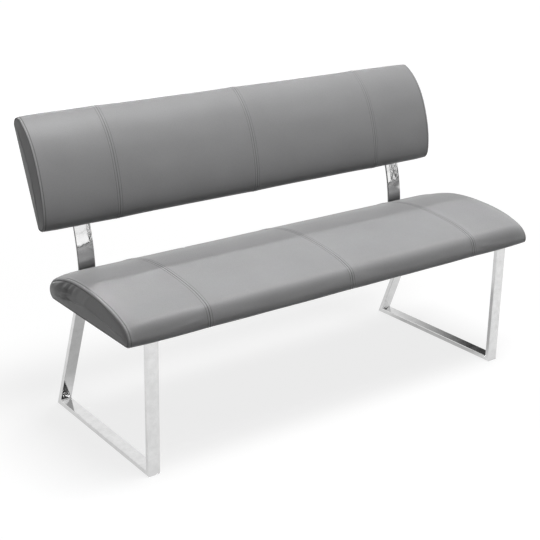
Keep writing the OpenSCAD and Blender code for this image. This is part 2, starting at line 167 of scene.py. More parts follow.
def chrome(name, marks, tone=0.72, waves=0.00003):
    """Chrome of a tone, with polish marks at a scale, slow waves and a slight haze."""
    made, tree, surface = new_material(name, Metallic=1.0)
    place = object_coordinates(tree)
    marked = add(tree, "Group", {"Vector": object_coordinates(tree, marks)}, node_tree=polish).outputs
    scratched = bumped(tree, marked["Height"], 0.0002, 0.05)
    waved = bumped(tree, noise_over(tree, place, 55.0, 1.0), waves, Normal=scratched)
    haze = noise_over(tree, place, 38.0, 5.0, Roughness=0.65)
    grey = ranged(tree, haze, (0.32, 0.62), (tone * 0.95, tone * 1.04))
    feed(tree, surface, Base_Color=grey, Roughness=marked["Roughness"], Normal=waved)
    return made


leg_chrome = chrome("chrome with marks across the upright tubes", (24, 24, 620))
rail_chrome = chrome("chrome with marks across the level tubes", (24, 620, 24))
weld_chrome = chrome("chrome over weld", (260, 260, 260), tone=0.66)
sides = {"left": -1, "right": 1}
dress([nodes[f"{side}_{part}_leg"] for side in sides for part in ("front", "rear")], leg_chrome)
dress([nodes[f"{side}_{part}_rail"] for side in sides for part in ("floor", "top")], rail_chrome)

loop_outer_x, tube_wide, tube_deep, tube_corner, corner_steps = 0.679, 0.038, 0.015, 0.002, 4
loop_corners = [Vector(p) for p in (
    (-0.2797, 0.002), (0.2873, 0.002), (0.1150, 0.416), (-0.2927, 0.416))]
weld_line, fillet_run, fillet_thick, fillet_steps, fillet_ripple = 0.0004, 0.00098, 0.00154, 18, 0.00025


def inner_corner(i):
    """The inner corner at a mitre, and the directions of the two tubes that meet there."""
    here, after = loop_corners[i], loop_corners[(i + 1) % len(loop_corners)]
    arriving, leaving = (here - loop_corners[i - 1]).normalized(), (after - here).normalized()
    a, b = (Vector((-way.y, way.x)) for way in (arriving, leaving))
    return here + tube_deep * (a + b) / (1 + a.dot(b)), arriving, leaving


def bead(bm, path, radius, segments=6, closed=False):
    """A thin round bead along a path: a ring at each point, bridged to the next."""
    rings = []
    for i, point in enumerate(path):
        before = path[i - 1] if closed or i else point
        after = path[(i + 1) % len(path)] if closed or i + 1 < len(path) else point
        turn = (after - before).to_track_quat("Z", "Y").to_matrix().to_4x4()
        ring = bmesh.ops.create_circle(
            bm, segments=segments, radius=radius, matrix=Matrix.Translation(point) @ turn)
        rings.append(ring["verts"])
    for pair in zip(rings, rings[1:] + (rings[:1] if closed else [])):
        rims = [e for ring in pair for v in ring for e in v.link_edges if e.other_vert(v) in ring]
        bmesh.ops.bridge_loops(bm, edges=list(dict.fromkeys(rims)))
    if not closed:
        for ring in (rings[0], rings[-1]):
            bmesh.ops.contextual_create(bm, geom=ring)


def weld_ring(outer, inner, s):
    """Points round the tube's section in the plane of a mitre, with its rounded corners."""
    x_in, x_out = s * (loop_outer_x - tube_wide), s * loop_outer_x
    ring = []
    for k, (x, far) in enumerate(((x_in, 0), (x_out, 0), (x_out, 1), (x_in, 1))):
        centre_x = x + s * (tube_corner if k in (0, 3) else -tube_corner)
        centre_deep = far * tube_deep + (tube_corner if k < 2 else -tube_corner)
        for j in range(corner_steps + 1):
            angle = math.pi * (1 + k / 2 + j / corner_steps / 2)
            at = outer + (inner - outer) * ((centre_deep + tube_corner * math.sin(angle)) / tube_deep)
            ring.append(Vector((centre_x + s * tube_corner * math.cos(angle), at.x, at.y)))
    return ring


def fillet_path(inner, arriving, leaving, s):
    """The middle of a fillet across the tube's inner face, with the ripple of its weld."""
    middle = inner + (leaving - arriving).normalized() * fillet_run
    from_x = s * (loop_outer_x - tube_wide)
    return [Vector((from_x + s * tube_wide * (0.05 + 0.9 * k / fillet_steps),
                    middle.x, middle.y + fillet_ripple * (k % 2)))
            for k in range(fillet_steps + 1)]


for side, s in sides.items():
    bm = bmesh.new()
    for i, outer in enumerate(loop_corners):
        inner, arriving, leaving = inner_corner(i)
        bead(bm, weld_ring(outer, inner, s), weld_line, closed=True)
        bead(bm, fillet_path(inner, arriving, leaving, s), fillet_thick, segments=8)
    bmesh.ops.recalc_face_normals(bm, faces=bm.faces)
    finish_piece(f"{side}_loop_welds", bm, weld_chrome, slot="leg_tube")


# Floor glides: four turned discs of black polyamide, each pressed into a floor rail by its stem.
# They carry the bench; the frame's own solids get the moulded plastic.
plastic = speckled("black glide plastic", (0.02, 0.02, 0.021), 900.0, (0.38, 0.62), 0.0002, 0.15)
dress([nodes["floor_glides"]], plastic)


# Back supports: two flat chromed bars, 54 x 8 mm, from under the seat round a tight bend and a long
# curve to the straight part behind the backrest. Drawn through their bends as a press would.
bar_wide, bar_thick, bar_x = 0.054, 0.008, 0.607
bar_front_y, bar_under, bend_inner, sweep, bar_up = 0.01229, 0.140, 0.025, 0.545, 0.135
bar_lean, seat_z, bar_edge = math.radians(23.8), 0.416, 0.0016
bend_steps, sweep_steps, sharp_from, side_face = 16, 20, math.radians(40), 0.35
bar_chrome = chrome("chrome with marks across the flat bars", (30, 30, 500), tone=0.60, waves=0.00016)
# The side faces and rolled edges of the bars get a much darker copy of the chrome, as painted shade
shaded_side_chrome = chrome("chrome with painted shade on the sides of the bars", (30, 500, 30), tone=0.16)


def run_on(bm, end, way):
    """Draws the end of a bar straight on, and returns its new end face."""
    out = bmesh.ops.extrude_face_region(bm, geom=end)["geom"]
    faces = [g for g in out if isinstance(g, bmesh.types.BMFace)]
    bmesh.ops.translate(bm, vec=way, verts=list({v for f in faces for v in f.verts}))
    if len(bm.faces) > 6:
        bmesh.ops.delete(bm, geom=end, context="FACES_ONLY")
    return faces


def bend_on(bm, end, centre, axis, angle, steps):
    """Bends the end of a bar round an axis through centre, and returns its new end face."""
    out = bmesh.ops.spin(
        bm, geom=end, cent=centre, axis=axis, angle=angle, steps=steps, use_merge=False)
    bmesh.ops.delete(bm, geom=end, context="FACES_ONLY")
    return [g for g in out["geom_last"] if isinstance(g, bmesh.types.BMFace)]


for side, s in sides.items():
    bm, x = bmesh.new(), s * bar_x
    cut_end = Matrix.Translation((x, bar_front_y, seat_z - bar_thick / 2))
    bmesh.ops.create_grid(bm, x_segments=1, y_segments=1, size=0.5)
    bmesh.ops.scale(bm, vec=(bar_wide, bar_thick, 1), verts=bm.verts)
    bmesh.ops.transform(bm, matrix=cut_end @ Matrix.Rotation(math.pi / 2, 4, "X"), verts=bm.verts)
    bend_y, bend_z = bar_front_y + bar_under, seat_z + bend_inner
    end = run_on(bm, bm.faces[:], (0, bar_under, 0))
    end = bend_on(bm, end, (x, bend_y, bend_z), (1, 0, 0), math.pi / 2, bend_steps)
    end = bend_on(bm, end, (x, bend_y + bend_inner + sweep, bend_z), (1, 0, 0), -bar_lean, sweep_steps)
    run_on(bm, end, (0, bar_up * math.sin(bar_lean), bar_up * math.cos(bar_lean)))
    bmesh.ops.recalc_face_normals(bm, faces=bm.faces)
    sharp = [e for e in bm.edges if e.is_manifold and e.calc_face_angle() > sharp_from]
    bmesh.ops.bevel(bm, geom=sharp, offset=bar_edge, affect="EDGES", segments=3, profile=0.5,
                    material=-1, clamp_overlap=True)
    bm.normal_update()
    for face in bm.faces:
        face.material_index = 1 if abs(face.normal.x) > side_face else 0
    made = finish_piece(f"{side}_back_bar", bm, bar_chrome, slot="support_bar")
    made.data.materials.append(shaded_side_chrome)
    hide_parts(f"{side}_back_support")


# Seat board: 18 mm birch plywood, drilled for ten T-nuts, hidden between the foam and the dust cover.
# The T-nuts are zinc plated and are driven in from above.
def ramp(tree, value, stops):
    """A colour ramp with the given places and greys or colours."""
    made = add(tree, "ValToRGB", {"Fac": value})
    while len(made.color_ramp.elements) < len(stops):
        made.color_ramp.elements.new(0.5)
    for stop, (at, colour) in zip(made.color_ramp.elements, stops):
        stop.position, stop.color = at, (*colour, 1)
    return made.outputs["Color"]


plywood, tree, surface = new_material("birch plywood", Roughness=0.62)
ply_pair = 0.0036
height = add(tree, "SeparateXYZ", {"Vector": object_coordinates(tree)}).outputs["Z"]
layer = calculate(tree, "SINE", product(tree, height, 2 * math.pi / ply_pair))
grain = noise_over(tree, object_coordinates(tree, (3, 90, 90)), 1.0, 4.0)
mixed = calculate(tree, "MULTIPLY_ADD", layer, 0.16, grain)
birch = ramp(tree, mixed, [(0.3, (0.36, 0.23, 0.12)), (0.75, (0.62, 0.46, 0.29))])
feed(tree, surface, Base_Color=birch)
dress([nodes["seat_board"], nodes["back_board"]], plywood)

zinc, tree, surface = new_material("zinc plate", Base_Color=(0.62, 0.62, 0.60, 1), Metallic=1.0)
spangle = add(tree, "TexVoronoi", {"Vector": object_coordinates(tree), "Scale": 420.0}).outputs["Distance"]
feed(tree, surface, Roughness=ranged(tree, spangle, wanted=(0.26, 0.42)))
dress([nodes["seat_t_nuts"], nodes["back_t_nuts"]], zinc)


# Seat cushion: upholstery foam under grey imitation leather. Four cover panels are sewn together at
# three cross seams, an end panel is sewn into each end, and the edges are turned under the board.
# The padding is inflated as cloth between its seams, then the seams are drawn in.
leather_grain, ins, outs = new_group(
    "leather grain",
    [("Vector", "Vector", None), ("Pebble Size", "Float", 0.0011), ("Painted Shading", "Float", 0.0)],
    [("Height", "Float"), ("Tone", "Float"), ("Roughness", "Float")],
)
tree = leather_grain
warp = add(tree, "TexNoise", {"Vector": ins["Vector"], "Scale": 260.0, "Detail": 1.0})
bent = add(tree, "VectorMath", {0: warp.outputs["Color"], "Scale": 0.0009}, operation="SCALE")
moved = add(tree, "VectorMath", {0: ins["Vector"], 1: bent.outputs["Vector"]}, operation="ADD")
pebble = add(tree, "TexVoronoi", {
    "Vector": moved.outputs["Vector"], "Smoothness": 0.45,
    "Scale": calculate(tree, "DIVIDE", 1.0, ins["Pebble Size"]),
}, feature="SMOOTH_F1").outputs["Distance"]
fine = noise_over(tree, ins["Vector"], 2600.0, 2.0)
raised = calculate(tree, "MULTIPLY_ADD", pebble, -1.0, 1.0)
stain = ranged(tree, noise_over(tree, ins["Vector"], 7.0, 3.0), (0.3, 0.7), (0.965, 1.035))
pit = ranged(tree, pebble, (0.45, 0.85), (1.0, 0.88))
# Painted shade and painted highlight: the shading layer darkens the tone where it is above nought and
# lightens it where it is below
shading_tone = ranged(tree, ins["Painted Shading"], (-1.0, 1.0), (1.78, 0.22))
feed(tree, outs, Height=calculate(tree, "MULTIPLY_ADD", fine, 0.22, raised),
     Tone=product(tree, stain, pit, shading_tone),
     Roughness=ranged(tree, pebble, (0.1, 0.8), (0.38, 0.50)))

leather_colour = (0.262, 0.262, 0.265)
cover_leather, tree, surface = new_material("grey imitation leather", Specular_IOR_Level=0.26)
grained = add(tree, "Group", {
    "Vector": object_coordinates(tree),
    "Painted Shading": add(tree, "Attribute", attribute_name="painted_shading").outputs["Fac"],
}, node_tree=leather_grain).outputs
tinted = add(tree, "VectorMath", {0: leather_colour, "Scale": grained["Tone"]}, operation="SCALE")
feed(tree, surface, Base_Color=tinted.outputs["Vector"], Roughness=grained["Roughness"],
     Normal=bumped(tree, grained["Height"], 0.00022, 0.35))

panel_end, seam_x, edge_roll, coarse_step = 0.7458, 0.498, 0.075, 0.0095
cross_seams = (-seam_x, 0.0, seam_x)
stitch_out, end_stitch_in = 0.0078, 0.0068
# The mesh's lines beside a cross seam and beside an end, close together where they are pressed
by_seam = (0, 0.0011, 0.0026, 0.0048, 0.0066, stitch_out, 0.0090,
           0.0108, 0.0138, 0.0180, 0.0235, 0.030, 0.038)
by_end = (0, 0.0007, 0.0018, 0.0034, 0.0052, end_stitch_in, 0.0084,
          0.0108, 0.0145, 0.0195, 0.0255, 0.032, 0.040)


def stations_between(a, b, from_a, from_b):
    low, high = [a + q for q in from_a], [b - q for q in reversed(from_b)]
    count = max(2, round((high[0] - low[-1]) / coarse_step))
    return low + [low[-1] + (high[0] - low[-1]) * k / count for k in range(1, count)] + high


right_half = (stations_between(0.0, seam_x, by_seam, by_seam)
              + stations_between(seam_x, panel_end, by_seam, by_end)[1:])
cover_stations = [-x for x in reversed(right_half)] + right_half[1:]
# An end panel's rings, from its seam inwards: how far past the cover's end, how far in from the outline
end_rings = [(0.0004, 0.0006), (0.0002, 0.0014), (-0.0012, 0.0020), (-0.0014, 0.0026), (0.0002, 0.0036),
             (0.0009, 0.0052), (0.0014, 0.0078), (0.0018, 0.0112), (0.0023, 0.0155), (0.0028, 0.0205)]
# and on to its middle: how far past the end, and the share of the last ring's size
end_shares = [(0.0032, 0.84), (0.0036, 0.68), (0.0039, 0.5), (0.0041, 0.32), (0.0042, 0.14), (0.0042, 0.0)]
# The seams hold the padding up to these distances: on the end panel, by a cross seam, by an end
held_inset, held_by_seam, held_by_end = 0.0038, 0.0092, 0.0086


def within(value, low=0.0, high=1.0):
    return max(low, min(high, value))


def bell(distance, width):
    return math.exp(-(distance / width) ** 2)


def on_path(points, i, t):
    """A place between points i and i + 1 of a smooth curve through all points."""
    p0, p1, p2, p3 = (points[within(i + k, 0, len(points) - 1)] for k in (-1, 0, 1, 2))
    d0, d1, d2 = ((q - p).length or 1e-9 for p, q in ((p0, p1), (p1, p2), (p2, p3)))
    m1 = ((p1 - p0) / d0 * d1 + (p2 - p1) / d1 * d0) / (d0 + d1) * d1
    m2 = ((p2 - p1) / d1 * d2 + (p3 - p2) / d2 * d1) / (d1 + d2) * d1
    return ((2 * t ** 3 - 3 * t ** 2 + 1) * p1 + (t ** 3 - 2 * t ** 2 + t) * m1
            + (3 * t ** 2 - 2 * t ** 3) * p2 + (t ** 3 - t ** 2) * m2)


def even_places(points, count):
    """Evenly spaced places along a path, each as the point before it and the share of the way on."""
    lengths = [(b - a).length for a, b in zip(points, points[1:])]
    total, places, i, done = sum(lengths), [], 0, 0.0
    for k in range(count + 1):
        want = total * k / count
        while i < len(lengths) - 1 and done + lengths[i] < want:
            done += lengths[i]
            i += 1
        places.append((i, min(1.0, (want - done) / lengths[i])))
    return places


class Section:
    """A cushion's half section and how it changes towards the ends, in its own flat frame."""

    def __init__(self, mid, end, start, deep, thick, steps, floor_steps):
        self.mid, self.end = (
            [Vector((start + a * deep, b * thick)) for a, b in shape] for shape in (mid, end))
        self.steps, self.floor_steps = steps, floor_steps
        self.places = even_places(self.mid, steps)

    def loop(self, x):
        """The whole section at x, over the cushion from its front and back along its flat floor."""
        t = max(0.0, (abs(x) - (panel_end - edge_roll)) / edge_roll)
        w = 1 - math.sqrt(max(0.0, 1 - t * t))
        path = [a.lerp(b, w) for a, b in zip(self.mid, self.end)]
        over = [on_path(path, i, t) for i, t in self.places]
        under = [path[-1].lerp(path[0], k / self.floor_steps) for k in range(1, self.floor_steps)]
        return over + under

    def ring(self, inset, share):
        """A ring of an end panel: the end section drawn in by an inset and shrunk to a share."""
        points = self.loop(panel_end)
        low, high = (Vector((pick(p.x for p in points), pick(p.y for p in points))) for pick in (min, max))
        centre, half = (low + high) / 2, (high - low) / 2
        return [Vector((centre.x + (p.x - centre.x) * (1 - inset / half.x) * share,
                        centre.y + (p.y - centre.y) * (1 - inset / half.y) * share)) for p in points]


def sewn(x):
    """The distance to the nearest cross seam."""
    return min(abs(x - s) for s in cross_seams)


def bake_modifiers(piece):
    seen = piece.evaluated_get(bpy.context.evaluated_depsgraph_get())
    shaped = bpy.data.meshes.new_from_object(seen)
    piece.modifiers.clear()
    piece.data = shaped


def cushion(name, section, cap, gather, valley=lambda *place: 0.0, tight=1.0):
    """The whole cushion in its flat frame: X along the bench, Y over its depth, Z its thickness."""
    rings = ([(past, inset, 1.0) for past, inset in end_rings]
             + [(past, end_rings[-1][1], share) for past, share in end_shares])
    ends = [(panel_end + past, section.ring(inset, share), inset) for past, inset, share in rings]
    columns = ([(-x, points, inset) for x, points, inset in reversed(ends)]
               + [(x, section.loop(x), 0.0) for x in cover_stations] + ends)
    wide, around = len(columns), len(columns[0][1])
    bm = bmesh.new()
    bmesh.ops.create_grid(bm, x_segments=wide - 1, y_segments=around, size=0.5)
    pin, painted_shading, inside = (bm.verts.layers.float.new(kind) for kind in ("pin", "painted_shading", "inside"))
    for v in bm.verts:
        i, j = round((v.co.x + 0.5) * (wide - 1)), round((v.co.y + 0.5) * around) % around
        x, points, inset = columns[i]
        v.co = (x, points[j].x, points[j].y)
        if inset:
            held = inset < held_inset
        else:
            held = sewn(x) < held_by_seam or abs(x) > panel_end - held_by_end
        v[pin] = 1.0 if held or j == 0 or j >= section.steps else 0.0
        v[painted_shading], v[inside] = 0.0, inset
    bmesh.ops.remove_doubles(bm, verts=bm.verts, dist=2e-6)
    bmesh.ops.recalc_face_normals(bm, faces=bm.faces)
    made = new_object(name, new_mesh(name, bm))
    inflate(made, cap)
    round_off = made.modifiers.new("one subdivision", "SUBSURF")
    round_off.levels = round_off.render_levels = 1
    bake_modifiers(made)
    bm = bmesh.new()
    bm.from_mesh(made.data)
    draw_in_seams(bm, gather, valley, tight)
    bpy.data.objects.remove(made)
    return bm


cloth_settings = {
    "quality": 6, "mass": 0.35, "tension_stiffness": 22, "compression_stiffness": 22,
    "shear_stiffness": 7, "bending_stiffness": 1.2, "use_pressure": True, "uniform_pressure_force": 3,
    "vertex_group_mass": "held", "shrink_min": 0.014}


def inflate(piece, cap, last_step=20):
    """Blows the padding up as cloth between its seams, and keeps each point within the cap."""
    rest = [v.co.copy() for v in piece.data.vertices]
    pins = [pin.value for pin in piece.data.attributes["pin"].data]
    held = piece.vertex_groups.new(name="held")
    for i, pin in enumerate(pins):
        if pin > 0:
            held.add([i], pin, "REPLACE")
    cloth = piece.modifiers.new("padding", "CLOTH")
    for name, value in cloth_settings.items():
        setattr(cloth.settings, name, value)
    cloth.settings.effector_weights.gravity = 0
    cloth.collision_settings.use_collision = False
    cloth.point_cache.frame_start, cloth.point_cache.frame_end = 1, last_step
    for step in range(1, last_step + 1):
        bpy.context.scene.frame_set(step)
    bake_modifiers(piece)
    bpy.context.scene.frame_set(1)
    for v, start, pin in zip(piece.data.vertices, rest, pins):
        move = v.co - start
        if move.length > cap:
            move *= cap / move.length
        v.co = start + move * (1 - pin)


# What is pressed in beside a seam, and its painted shade and painted highlight: how much, how far from the
# seam, over what half width
seam_press = [(0.0010, 0.0, 0.0009), (0.0006, stitch_out, 0.0009), (0.0003, 0.0, 0.0120)]
seam_painted_shade = [(1.0, 0.0, 0.0009), (0.7, stitch_out, 0.0008)]
end_press = [(0.0009, end_stitch_in, 0.0011), (-0.0006, 0.0034, 0.0018)]
end_painted_shading = [(0.75, end_stitch_in, 0.0010), (-0.32, 0.0030, 0.0014)]
panel_painted_shading = [(1.0, 0.0018, 0.0014), (-0.12, 0.0050, 0.0014)]
pad_lift, pad_painted_sheen, seam_reach, end_reach, uneven, flat_edge = 0.0003, 0.08, 0.03, 0.02, 0.0006, 0.03


def beside(distance, marks):
    return sum(much * bell(distance - at, wide) for much, at, wide in marks)


def draw_in_seams(bm, gather, valley, tight):
    """Presses the cross seams, their two stitch lines and the end seams into the cover, and paints shade
    into their grooves and highlights beside them.
    """
    painted_shading, inside = bm.verts.layers.float["painted_shading"], bm.verts.layers.float["inside"]
    bm.normal_update()
    moves = []
    for v in bm.verts:
        x, y, z = v.co
        by_cross, by_side, inset = sewn(x), panel_end - abs(x), v[inside]
        down = dark = lift = 0.0
        if inset > 0.0001:
            # On an end panel: painted shade and painted highlight beside its seam, and the painted shading
            # of its folds
            dark = beside(inset, panel_painted_shading) + valley(x, y, z, inset)
        elif by_cross < seam_reach:
            # The seam allowances lift the cover a little between the seam and its two stitch lines, where a
            # painted sheen lightens it
            pad = math.sin(math.pi * min(1.0, by_cross / stitch_out))
            down = beside(by_cross, seam_press) - pad_lift * pad
            dark = tight * (beside(by_cross, seam_painted_shade) - pad_painted_sheen * pad)
        elif by_side < end_reach:
            down, dark = beside(by_side, end_press), beside(by_side, end_painted_shading)
        if inset < 0.0001:
            lift = noise.noise(Vector((x * 9, y * 14, z * 14))) * uneven
            lift *= min(1.0, by_cross / flat_edge) * min(1.0, by_side / flat_edge)
        v[painted_shading] = within(dark, -1.0)
        moves.append(v.normal * (lift - down + gather(x, y, z, inset)))
    for v, move in zip(bm.verts, moves):
        if abs(v.co.z) > 1e-5:
            v.co += move


seat_y0, seat_deep, seat_thick = -0.32771, 0.479, 0.105
seat_mid = [
    (0.0157, 0), (0.0052, 0.067), (0.0004, 0.157), (0.0046, 0.300), (0.0115, 0.419), (0.0215, 0.514),
    (0.0401, 0.600), (0.0793, 0.680), (0.1503, 0.785), (0.2630, 0.882), (0.3550, 0.938),
    (0.4550, 0.980), (0.5595, 1), (0.6597, 0.982), (0.7470, 0.933), (0.8270, 0.843),
    (0.8935, 0.735), (0.9560, 0.655), (0.9870, 0.500), (0.9970, 0.343), (1, 0.210),
    (0.9900, 0.085), (0.9560, 0)]
seat_end = [
    (0.0313, 0), (0.0240, 0.071), (0.0230, 0.157), (0.0313, 0.252), (0.0480, 0.343),
    (0.0752, 0.433), (0.1170, 0.524), (0.1670, 0.610), (0.2255, 0.690), (0.2920, 0.757),
    (0.3716, 0.808), (0.4593, 0.838), (0.5490, 0.850), (0.6388, 0.841), (0.7223, 0.808),
    (0.7996, 0.745), (0.8643, 0.667), (0.9165, 0.570), (0.9600, 0.448), (0.9860, 0.319),
    (0.9900, 0.195), (0.9810, 0.090), (0.9540, 0)]
seat_section = Section(seat_mid, seat_end, 0.0, seat_deep, seat_thick, steps=122, floor_steps=26)
at_seat = Matrix.Translation((0, seat_y0, seat_z))

# Folds of a seat end panel, each by its place along the depth, height, half width and lower end
seat_folds = [
    (0.4080, -0.0006, 0.0080, 0.030), (0.3880, 0.0016, 0.0066, 0.024), (0.3690, -0.0020, 0.0064, 0.016),
    (0.3520, 0.0030, 0.0056, 0.008), (0.3385, -0.0024, 0.0052, 0.020), (0.3255, 0.0024, 0.0056, 0.010),
    (0.3120, -0.0014, 0.0062, 0.018), (0.2970, 0.0010, 0.0076, 0.018), (0.2800, -0.0006, 0.0080, 0.022),
    (0.2275, 0.0006, 0.0090, 0.020)]
fold_bow, fold_foot, fold_rise, fold_fade = 0.0325, 0.020, 0.056, 0.026
right_shift, right_weaker = 0.0090, 0.7
puff, puff_y, puff_z = 0.0082, (0.425, 0.050), (0.046, 0.034)
panel_from, panel_ease, fold_painted_shading = 0.0026, 0.0060, 0.13


def fold_place(x, y, z):
    """How far along the depth a point lies once the folds' own curve is taken out."""
    return y - fold_bow * (1 - ((z - fold_foot) / fold_rise) ** 2) + (0.0 if x < 0 else right_shift)


def fold_strength(z, low):
    """Folds grow from their lower end and flatten again near the upper seam."""
    return within((z - low) / fold_fade) * (1.2 - 0.5 * within((z - 0.040) / 0.030))


def seat_gather(x, y, z, inset):
    """The end panel puffs out at the rear and hangs in folds where its tight curve is eased in."""
    if inset < panel_from:
        return 0.0
    push = puff * bell(y - puff_y[0], puff_y[1]) * bell(z - puff_z[0], puff_z[1])
    for place, tall, wide, low in seat_folds:
        fold = tall * bell(fold_place(x, y, z) - place, wide) * fold_strength(z, low)
        push += fold * (1.0 if x < 0 else right_weaker)
    return push * min(1.0, (inset - panel_from) / panel_ease)


def seat_fold_shading(x, y, z, inset):
    """Painted shade in the valleys between the folds and a painted highlight along their ridges."""
    return fold_painted_shading * sum(
        -tall / 0.001 * bell(fold_place(x, y, z) - place, wide * 0.7) * fold_strength(z, low)
        for place, tall, wide, low in seat_folds)


def box_cutter(low, high, place):
    bm, low, high = bmesh.new(), Vector(low), Vector(high)
    box = Matrix.Translation((low + high) / 2) @ Matrix.Diagonal((*(high - low), 1))
    bmesh.ops.create_cube(bm, size=1.0, matrix=place @ box)
    return new_object("cutter", new_mesh("cutter", bm))


def hole_cutter(x, y, width, place):
    bm, middle = bmesh.new(), Matrix.Translation((x, y, 0))
    bmesh.ops.create_cone(bm, cap_ends=True, segments=20, radius1=width / 2, radius2=width / 2,
                          depth=0.02, matrix=place @ middle)
    return new_object("cutter", new_mesh("cutter", bm))


def cut_away(piece, cutters):
    for tool in cutters:
        cut = piece.modifiers.new("cut", "BOOLEAN")
        cut.operation, cut.solver, cut.object = "DIFFERENCE", "MANIFOLD", tool
    bake_modifiers(piece)
    for tool in cutters:
        bpy.data.objects.remove(tool)


stitch_long, stitch_pitch, thread, lowest_stitch = 0.0036, 0.0050, 0.0007, 0.0045


def row_on_section(section, x):
    """Points and outward directions over a cushion's section at x, in its flat frame."""
    points = section.loop(x)[:section.steps + 1]
    row = []
    for i, p in enumerate(points):
        a, b = points[max(0, i - 1)], points[min(len(points) - 1, i + 1)]
        way = (b - a).normalized()
        if p.y > lowest_stitch:
            row.append((Vector((x, p.x, p.y)), Vector((0, -way.y, way.x))))
    return row


def one_stitch():
    bm, size = bmesh.new(), Matrix.Diagonal((thread, thread, stitch_long, 1))
    bmesh.ops.create_uvsphere(bm, u_segments=6, v_segments=4, radius=0.5, matrix=size)
    return new_mesh("one stitch", bm)


def stamp(bm, shape, place):
    """Adds a copy of a small mesh at a place."""
    first = len(bm.verts)
    bm.from_mesh(shape)
    bm.verts.ensure_lookup_table()
    bmesh.ops.transform(bm, matrix=place, verts=bm.verts[first:])


def sew_row(bm, stitch, skin, row, reach=0.02, proud=0.00005):
    """Lays stitch after stitch along a row, each pressed onto the surface below it."""
    spare = 0.0
    for (a, out_a), (b, out_b) in zip(row, row[1:]):
        span = (b - a).length
        while spare <= span:
            t = spare / span
            p, out = a.lerp(b, t), out_a.lerp(out_b, t).normalized()
            spare += stitch_pitch
            hit, normal, _, _ = skin.ray_cast(p + out * reach, -out, 2 * reach)
            if hit is None:
                continue
            along = (b - a).normalized()
            across = along.cross(normal).normalized()
            turn = Matrix((across, across.cross(-along), along)).transposed().to_4x4()
            stamp(bm, stitch, Matrix.Translation(hit + normal * proud) @ turn)
        spare -= span


def topstitching(section, skin):
    stitch, bm = one_stitch(), bmesh.new()
    by_seams = [seam + s * stitch_out for seam in cross_seams for s in (-1, 1)]
    for x in by_seams + [s * (panel_end - end_stitch_in) for s in (-1, 1)]:
        sew_row(bm, stitch, skin, row_on_section(section, x))
    return bm


# The thread's grey is set darker than the leather, as painted shade of the grooves it lies in
shaded_thread_grey = speckled("grey sewing thread", (0.15, 0.15, 0.152), 2400.0, (0.40, 0.62), 0.0001, 0.4)
covered = ("foam", "cover_outer_left", "cover_inner_left", "cover_inner_right", "cover_outer_right",
           "end_left", "end_right")


def upholster(part, bm, section, place, openings):
    """Makes the seat or the backrest of its padding, with its openings and its topstitching."""
    skin = BVHTree.FromBMesh(bm)
    made = finish_piece(f"{part}_cushion", bm, cover_leather, place, slot="cover")
    cut_away(made, [box_cutter(*box, place) for box in openings])
    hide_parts(*(f"{part}_{name}" for name in covered))
    finish_piece(f"{part}_topstitching", topstitching(section, skin), shaded_thread_grey, place, slot="cover")


# The pocket for the board, and the opening inside the cover's turned-under margin, corner to corner
seat_openings = [((-0.7382, 0.0258, 0.0010), (0.7382, 0.4432, 0.0194)),
                 ((-0.7178, 0.0540, -0.01), (0.7178, 0.4150, 0.0012))]
padding = cushion("seat_padding", seat_section, 0.0016, seat_gather, seat_fold_shading)
upholster("seat", padding, seat_section, at_seat, seat_openings)


# Seat underside: black non-woven dust cover with its edge folded in, and the galvanised staples that
# hold it and the turned-under cover to the board.
cloth_black, tree, surface = new_material("black non-woven dust cloth")
place = object_coordinates(tree, (1, 1, 0))
dots = add(tree, "TexVoronoi", {"Vector": place, "Scale": 620.0, "Randomness": 0.25}).outputs["Distance"]
fibre = noise_over(tree, place, 900.0, 4.0, Distortion=1.5)
press = ranged(tree, dots, (0.1, 0.45))
relief = calculate(tree, "MULTIPLY_ADD", fibre, 0.3, press)
feed(tree, surface, Roughness=ranged(tree, press, wanted=(0.55, 0.85)),
     Base_Color=ramp(tree, fibre, [(0.0, (0.012, 0.012, 0.013)), (1.0, (0.045, 0.045, 0.047))]),
     Normal=bumped(tree, relief, 0.0002, 0.6))

dust_low, dust_high, dust_fold, dust_step = Vector((-0.7172, 0.0546)), Vector((0.7172, 0.4144)), 0.012, 0.009
fold_open, fold_lift, dust_thick, dust_above = 0.0010, 0.0005, 0.0003, 0.0004
rail_middle, rail_half, bar_from, bolt_hole = 0.660, 0.024, 0.330, 0.0092
most_sag, sag_by_steel, sag_by_border, bar_ahead, bar_beside = 0.0016, 0.05, 0.06, 0.03, 0.004
rail_front, rail_run = loop_corners[3].x, loop_corners[2].x - loop_corners[3].x
bolt_flat_y = [rail_front + k * rail_run - seat_y0 for k in (0.16, 0.5, 0.80)]
bar_bolt_flat_y = [bar_front_y + k * bar_under - seat_y0 for k in (0.16, 0.40)]
seat_bolt_holes = ([(s * rail_middle, y) for s in (-1, 1) for y in bolt_flat_y]
                   + [(s * bar_x, y) for s in (-1, 1) for y in bar_bolt_flat_y])


def folded_stations(low, high):
    """Places over a cloth from one folded-in end to the other, each with its share of the fold."""
    count = round((high - low) / dust_step)
    main = [(low + (high - low) * k / count, 0.0) for k in range(1, count)]
    fold = [(low + dust_fold, 1.0), (low + fold_open, 1.0), (low, 0.5), (low + fold_open, 0.0)]
    return fold + main + [(high + low - at, share) for at, share in reversed(fold)]


def to_border(x, y, low, high):
    return min(x - low.x, high.x - x, y - low.y, high.y - y)


